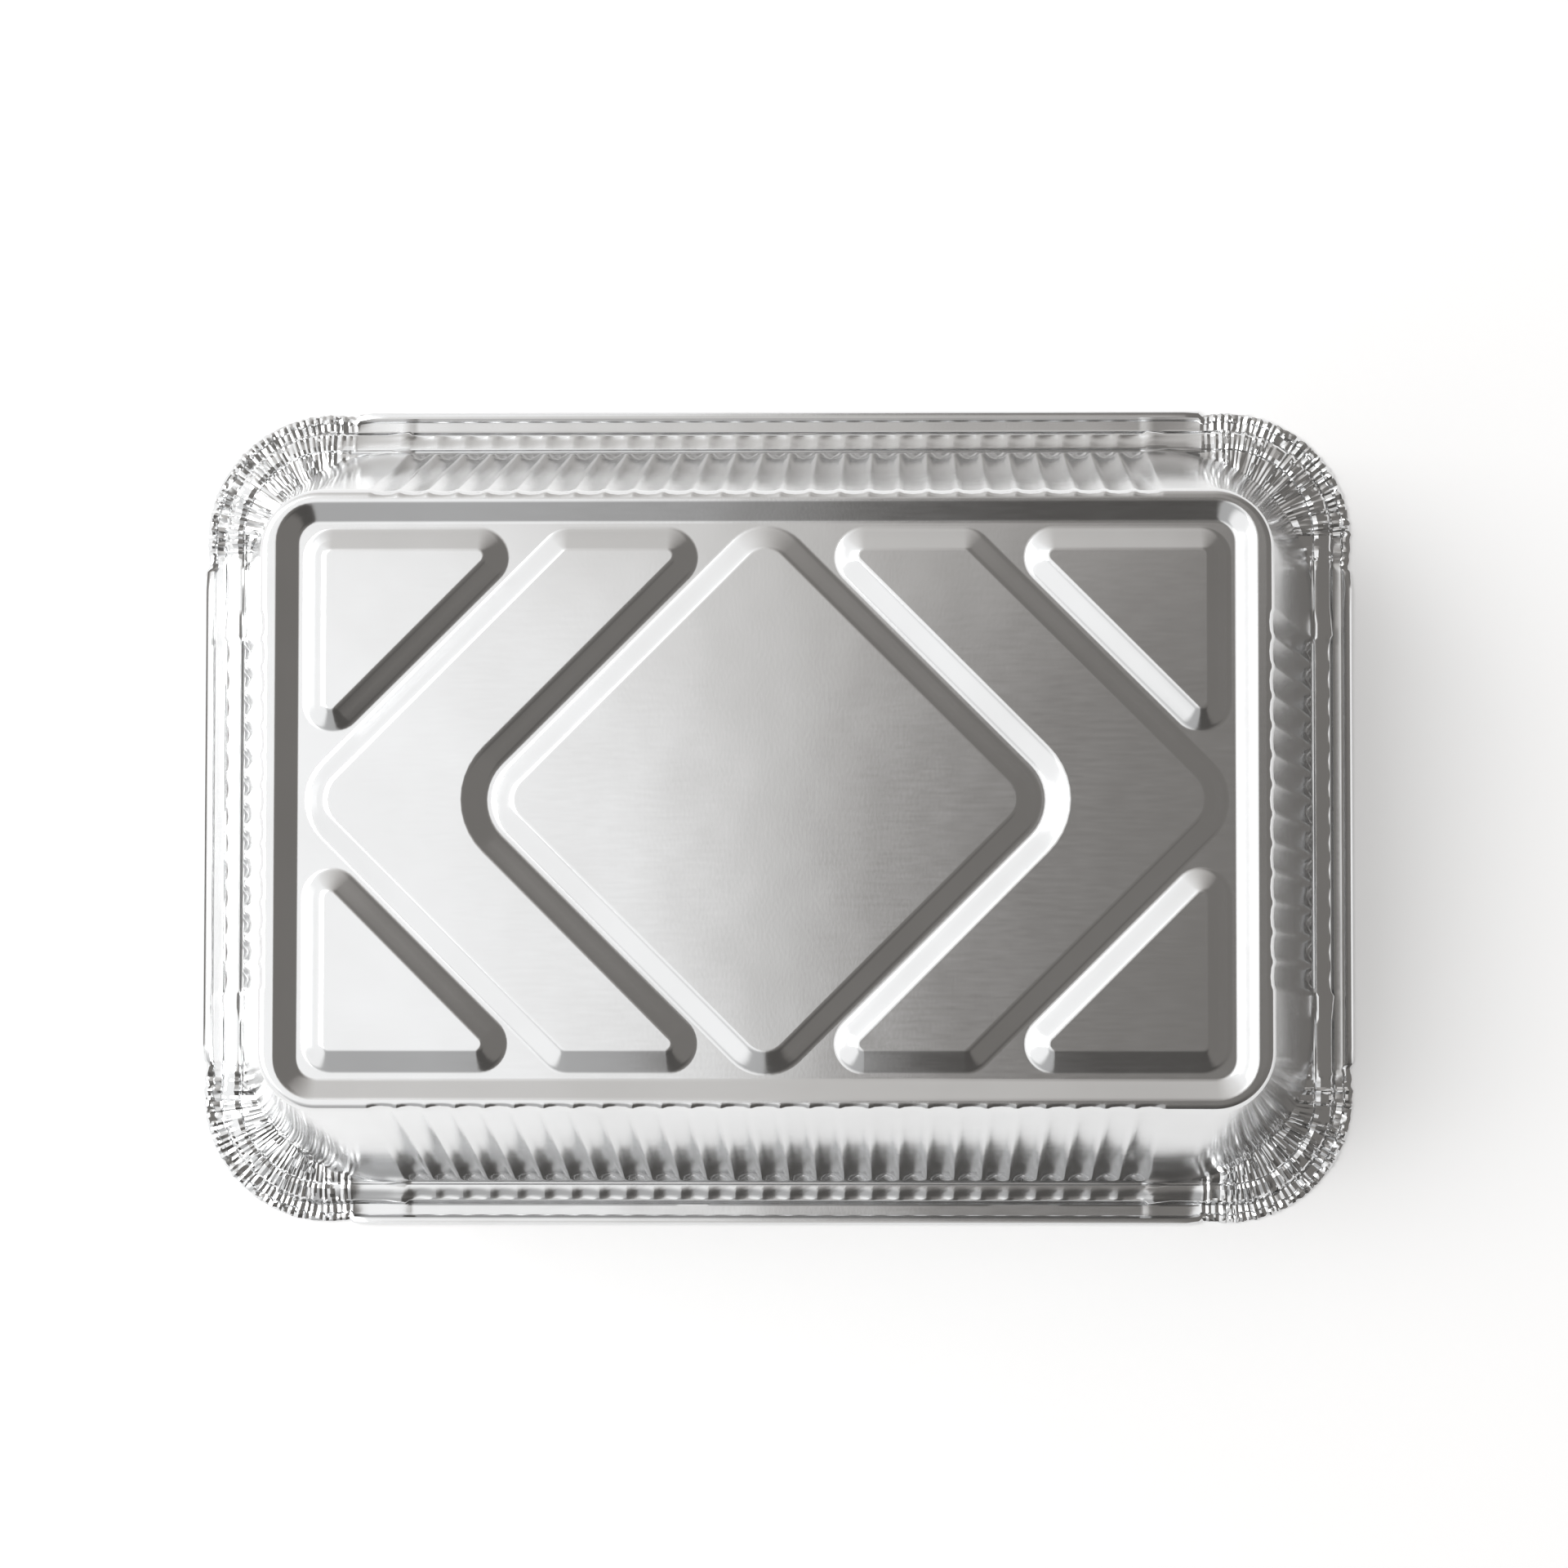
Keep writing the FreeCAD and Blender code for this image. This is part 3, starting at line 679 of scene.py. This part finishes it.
# %% [markdown]
# ## Rolled lip
#
# On the straight sides the cut edge of the foil is curled out, up and back in, which makes it safe to hold
# and stiff. A slight dent runs along the top of the roll. In the corners the roll is crushed to a flat hem
# with a ragged edge. Each ring of the lip is one step of that curl.

# %% Rolled lip and crushed hem
LIP_RADIUS = 0.72 * MM
LIP_CENTRE = 0.85 * MM
LIP_STEP = 36
LIP_END = 324
LIP_TURNS = [math.radians(angle) for angle in range(0, LIP_END + 1, LIP_STEP)]
LIP_DENT = 0.30 * MM
DENT_BAND = (math.pi, 0.5, 1.5)
# How fast the roll turns into the hem where the gathered corner begins.
CRUSH_RATE = 4
HEM_SETBACK = 0.45 * MM
HEM_HEIGHT = 0.34 * MM
HEM_LIFT = 0.4 * MM
HEM_CALM = 0.7
HEM_UNEVEN = 0.4
# How far the edge wanders and how far a fold pulls it out, in millimetres.
HEM_RAGGED = 0.35
HEM_PULL = 0.25
HEM_WAVES = 15
HEM_RIPPLE = (1.0, 21)
NOTCH = 0.5 * MM


def lip_ring(turn):
    """One ring of the lip: a roll with a dent along its top, crushed to a ragged flat hem in the corners."""
    points = []
    for column in COLUMNS:
        crushed = soft_step(column.grip * CRUSH_RATE)
        ragged = ripple(Vector((column.reach * HEM_WAVES, column.side, turn)), *HEM_RIPPLE)
        inset = LIP_CENTRE - LIP_RADIUS * math.sin(turn)
        wavy = (HEM_RAGGED * ragged - HEM_PULL * column.ridge) * MM + NOTCH * (1 - column.grip)
        hem_inset = inset + HEM_SETBACK + wavy * math.sin(turn / 2)
        inset += crushed * (hem_inset - inset)
        inset = max(FOIL, inset)
        dent = LIP_DENT * band(turn, *DENT_BAND)
        roll_level = FOIL + LIP_RADIUS * (1 - math.cos(turn)) - dent
        lift = HEM_LIFT * column.ridge * (1 + ragged) * (1 - HEM_CALM * max(0.0, math.sin(turn)))
        hem_level = FOIL + HEM_HEIGHT * (1 - math.cos(turn)) * (1 + HEM_UNEVEN * ragged) + lift
        spot = stand_on_rim(column, inset)[0]
        spot.z = roll_level + crushed * (hem_level - roll_level)
        points.append(spot)
    return points


lip_rings = [lip_ring(turn) for turn in LIP_TURNS]
net = loft("net", wall_rings + rim_rings + lip_rings)
print("net:", len(net.data.polygons), "faces")

# %% [markdown]
# ## Base
#
# Inside the foot ring a slope drops to the ribs, and seven pads rise again from them: a diamond, a chevron
# on each side and a triangle in each corner. Every pad is its outline, repeated a few times further in and
# higher up. The outlines move in parallel, so rounded corners stay round.

# %% Sizes of the base
PANEL_HALF_X = 84.3 * MM
PANEL_HALF_Y = 51.35 * MM
PANEL_RADIUS = 6.8 * MM
RING_SLOPE = 2.9 * MM
RIB_HEIGHT = 2.2 * MM
PAD_SLOPE = 3.4 * MM
RIB_FLOOR = 1.45 * MM
PAD_BORDER = 1.6 * MM
DIAMOND_REACH = 50.3 * MM
CHEVRON_WIDTH = 21.7 * MM
PAD_RADIUS = 4.8 * MM
DIAMOND_RADIUS = 7.8 * MM
ELBOW_RADIUS = 9.0 * MM
print("base panel, in millimetres:", round(2 * PANEL_HALF_X / MM, 1), "by", round(2 * PANEL_HALF_Y / MM, 1))

# %% Outlines with rounded corners
EDGE_STEP = 8.0 * MM
DEGREES_A_STEP = 9.0


class Arc:
    """The arc that rounds a corner, in an outline that was moved in by an offset."""

    def __init__(self, before, corner, following, offset):
        place = Vector(corner[:2])
        radius = corner[2]
        back = (Vector(before[:2]) - place).normalized()
        ahead = (Vector(following[:2]) - place).normalized()
        half_angle = back.angle(ahead) / 2
        hollow = back.x * ahead.y - back.y * ahead.x > 0
        scale = (radius + offset if hollow else radius - offset) / radius
        run = radius / math.tan(half_angle)
        self.middle = place + (back + ahead).normalized() * (radius / math.sin(half_angle))
        self.start = place + back * run
        self.end = place + ahead * run
        self.moved_start = self.middle + (self.start - self.middle) * scale
        self.reach = radius * scale
        self.turn = (math.pi - 2 * half_angle) * (-1 if hollow else 1)

    def points(self):
        steps = max(2, round(math.degrees(abs(self.turn)) / DEGREES_A_STEP))
        first = math.atan2(self.start.y - self.middle.y, self.start.x - self.middle.x)
        angles = [first + self.turn * step / steps for step in range(steps + 1)]
        return [self.middle + Vector((math.cos(angle), math.sin(angle))) * self.reach for angle in angles]


def outline(corners, offset, level):
    """Points of a rounded outline that was moved in by an offset. The corners go round anticlockwise."""
    neighbours = zip(corners[-1:] + corners[:-1], corners, corners[1:] + corners[:1])
    arcs = [Arc(*three, offset) for three in neighbours]
    points = []
    for arc, following in zip(arcs, arcs[1:] + arcs[:1]):
        points += arc.points()
        end = points[-1]
        pieces = max(1, round((following.start - arc.end).length / EDGE_STEP))
        points += [end.lerp(following.moved_start, piece / pieces) for piece in range(1, pieces)]
    return [Vector((point.x, point.y, level)) for point in points]


# %% Corners of the pads
def anticlockwise(corners):
    doubled = 0.0
    for here, following in zip(corners, corners[1:] + corners[:1]):
        doubled += here[0] * following[1] - following[0] * here[1]
    return corners if doubled > 0 else corners[::-1]


def pad_corners():
    """Corners of every pad where it leaves the ribs' floor, each with its radius."""
    border = RING_SLOPE + PAD_BORDER
    pad_x = PANEL_HALF_X - border
    pad_y = PANEL_HALF_Y - border
    diagonal = math.sqrt(2)
    inner = DIAMOND_REACH + RIB_FLOOR * diagonal
    outer = inner + CHEVRON_WIDTH * diagonal
    triangle = outer + RIB_FLOOR * diagonal
    reach, tip = DIAMOND_REACH, DIAMOND_RADIUS
    pads = [[(reach, 0, tip), (0, reach, tip), (-reach, 0, tip), (0, -reach, tip)]]
    for side in (1, -1):
        chevron = [
            (side * (inner - pad_y), pad_y, PAD_RADIUS),
            (side * inner, 0, ELBOW_RADIUS),
            (side * (inner - pad_y), -pad_y, PAD_RADIUS),
            (side * (outer - pad_y), -pad_y, PAD_RADIUS),
            (side * outer, 0, ELBOW_RADIUS),
            (side * (outer - pad_y), pad_y, PAD_RADIUS),
        ]
        pads.append(chevron)
        for end in (1, -1):
            corner = [
                (side * pad_x, end * pad_y, PAD_RADIUS),
                (side * (triangle - pad_y), end * pad_y, PAD_RADIUS),
                (side * pad_x, end * (triangle - pad_x), PAD_RADIUS),
            ]
            pads.append(corner)
    return [anticlockwise(pad) for pad in pads]


print("corners of the pads:", [len(pad) for pad in pad_corners()])

# %% Slopes of the base
# Share of the slope's run and of its height. A margin at both ends rounds it into the flats.
SLOPE_STEPS = ((0.0, 0.03), (0.15, 0.14), (0.5, 0.5), (0.85, 0.86), (1.0, 0.97))
SLOPE_MARGIN = 0.35 * MM
FLAT_RIM = 0.25 * MM


def slope_rings(corners, run, bottom, rise):
    """Rings of one slope from its outline inwards, rounded where it meets the flats.

    A narrow level strip on both sides keeps the shading of the flats level too.
    """
    rings = [outline(corners, -SLOPE_MARGIN - FLAT_RIM, bottom), outline(corners, -SLOPE_MARGIN, bottom)]
    for share, height in SLOPE_STEPS:
        rings.append(outline(corners, run * share, bottom + rise * height))
    rings.append(outline(corners, run + SLOPE_MARGIN, bottom + rise))
    rings.append(outline(corners, run + SLOPE_MARGIN + FLAT_RIM, bottom + rise))
    return rings


RIB_LEVEL = DEPTH - RIB_HEIGHT
panel = [(sign_x * PANEL_HALF_X, sign_y * PANEL_HALF_Y, PANEL_RADIUS) for sign_x, sign_y in CORNER_SIGNS]
base_parts = [loft("ring_slope", slope_rings(panel, RING_SLOPE, DEPTH, -RIB_HEIGHT))]
for number, corners in enumerate(pad_corners()):
    rings = slope_rings(corners, PAD_SLOPE, RIB_LEVEL, RIB_HEIGHT)
    base_parts.append(loft("pad_%d" % number, rings, closed_top=True))
print("base:", len(base_parts) - 1, "pads")

# %% [markdown]
# ## Joining the sheet
#
# The parts are joined to one mesh, and the flat floor of the ribs and the foot ring are filled between their
# outlines. Then doubles are merged and all faces turn the same way, out of the tray.

# %% Join and fill
LEVEL_TOLERANCE = 0.001 * MM
MERGE_DISTANCE = 0.002 * MM


def select_open_edges(piece, level):
    """Select the open edges whose two ends lie at a level, and count them."""
    bpy.ops.mesh.select_all(action="DESELECT")
    mesh = bmesh.from_edit_mesh(piece.data)
    for edge in mesh.edges:
        if edge.is_boundary and all(abs(vertex.co.z - level) < LEVEL_TOLERANCE for vertex in edge.verts):
            edge.select = True
    mesh.select_flush_mode()
    bmesh.update_edit_mesh(piece.data)
    return sum(edge.select for edge in mesh.edges)


def join(pieces, name):
    bpy.ops.object.select_all(action="DESELECT")
    for piece in pieces:
        piece.select_set(True)
    bpy.context.view_layer.objects.active = pieces[0]
    bpy.ops.object.join()
    pieces[0].name = name
    return pieces[0]


tray = join([net] + base_parts, "foil_sheet")
bpy.ops.object.mode_set(mode="EDIT")
bpy.ops.mesh.select_mode(type="EDGE")
for flat, level in (("ribs' floor", RIB_LEVEL), ("foot ring", DEPTH)):
    print("open edges round the %s:" % flat, select_open_edges(tray, level))
    bpy.ops.mesh.fill(use_beauty=True)
bpy.ops.mesh.select_all(action="SELECT")
bpy.ops.mesh.remove_doubles(threshold=MERGE_DISTANCE)
bpy.ops.mesh.normals_make_consistent(inside=False)
mesh = bmesh.from_edit_mesh(tray.data)
# Most of the level sheet is the base, which faces up.
if sum(face.normal.z * face.calc_area() for face in mesh.faces) < 0:
    bpy.ops.mesh.flip_normals()
print("open edges left, along the lip:", sum(edge.is_boundary for edge in mesh.edges))
bpy.ops.object.mode_set(mode="OBJECT")

# %% [markdown]
# ## Thickness and shading
#
# The sheet gets the foil's thickness, to the inside of its faces. Folded foil breaks in sharp creases, so in
# the corners even shallow edges are left sharp, while the flutes and the slopes of the base are shaded
# smooth.

# %% Thickness and smooth shading
SMOOTH_ANGLE = math.radians(38)
CREASE_ANGLE = math.radians(17)
CREASE_TOP = 12.0 * MM
thickness = tray.modifiers.new("foil", "SOLIDIFY")
thickness.thickness = FOIL
thickness.offset = -1.0
thickness.use_rim = True
bpy.ops.object.modifier_apply(modifier=thickness.name)
bpy.ops.object.shade_smooth_by_angle(angle=SMOOTH_ANGLE)


def in_corner(point):
    """Whether a point is low down and near one of the gathered corners."""
    beyond_x = abs(point.x) - (HALF_LENGTH - RIM_RADIUS - RUN_PLEATS * MM)
    beyond_y = abs(point.y) - (HALF_WIDTH - RIM_RADIUS - RUN_PLEATS * MM)
    return point.z < CREASE_TOP and beyond_x > 0 and beyond_y > 0


mesh = bmesh.new()
mesh.from_mesh(tray.data)
creases = 0
for edge in mesh.edges:
    if in_corner(edge.verts[0].co) and edge.calc_face_angle(0.0) > CREASE_ANGLE:
        edge.smooth = False
        creases += 1
mesh.to_mesh(tray.data)
mesh.free()
print("sharp creases in the corners:", creases)
triangles = sum(len(face.vertices) - 2 for face in tray.data.polygons)
print("sheet:", triangles, "triangles")

# %% [markdown]
# ## Foil
#
# Rolled aluminium is bright, but never a clean mirror: the rolls leave fine streaks along the sheet, and
# handling leaves soft dents. The metal's colour is near white with a cool tint, and soft clouds dull it a
# little. Its roughness follows the streaks, and bump adds the dents and a grain, too fine to model.

# %% Foil material
FOIL_LIGHT = (0.80, 0.805, 0.81, 1.0)
FOIL_DULL = (0.72, 0.72, 0.72, 1.0)
# Scale, stretch along each axis and detail of each pattern.
CLOUDS = (45.0, (1, 1, 1), 4)
STREAKS = (1400.0, (0.15, 1, 1), 2)
DENTS = (38.0, (1, 1, 1), 2)
GRAIN = (1800.0, (1, 0.6, 1), 2)
# A range of the pattern, and the dullness or roughness that it turns into.
CLOUD_RANGE = (0.35, 0.75, 0.0, 0.6)
STREAK_RANGE = (0.2, 0.8, 0.13, 0.17)
# Strength and height of the bumps.
DENT_BUMP = (0.14, 0.5 * MM)
GRAIN_BUMP = (0.10, 0.02 * MM)


def foil_material():
    material, node, link, output = new_material("rolled_aluminium")
    metal = node("ShaderNodeBsdfPrincipled")
    metal.inputs["Metallic"].default_value = 1.0
    place = node("ShaderNodeTexCoord")

    def texture(scale, stretch, detail):
        """Noise on the piece's own coordinates, stretched where its scale on an axis is below 1."""
        mapping = node("ShaderNodeMapping")
        mapping.inputs["Scale"].default_value = stretch
        link(place.outputs["Object"], mapping.inputs["Vector"])
        pattern = node("ShaderNodeTexNoise")
        pattern.inputs["Scale"].default_value = scale
        pattern.inputs["Detail"].default_value = detail
        link(mapping.outputs["Vector"], pattern.inputs["Vector"])
        return pattern.outputs["Fac"]

    def bump(pattern, strength, height):
        bumps = node("ShaderNodeBump")
        bumps.inputs["Strength"].default_value = strength
        bumps.inputs["Distance"].default_value = height
        link(texture(*pattern), bumps.inputs["Height"])
        return bumps

    dullness = map_range(node, link, texture(*CLOUDS), CLOUD_RANGE)
    link(mix_colours(node, link, dullness, FOIL_LIGHT, FOIL_DULL), metal.inputs["Base Color"])
    link(map_range(node, link, texture(*STREAKS), STREAK_RANGE), metal.inputs["Roughness"])
    dents = bump(DENTS, *DENT_BUMP)
    grain = bump(GRAIN, *GRAIN_BUMP)
    link(dents.outputs["Normal"], grain.inputs["Normal"])
    link(grain.outputs["Normal"], metal.inputs["Normal"])
    link(metal.outputs[0], output.inputs["Surface"])
    return material


tray.data.materials.clear()
tray.data.materials.append(foil_material())
print("material:", tray.data.materials[0].name)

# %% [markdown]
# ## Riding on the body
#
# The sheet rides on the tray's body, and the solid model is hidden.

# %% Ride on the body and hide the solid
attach(tray, "root")
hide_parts(NODE)
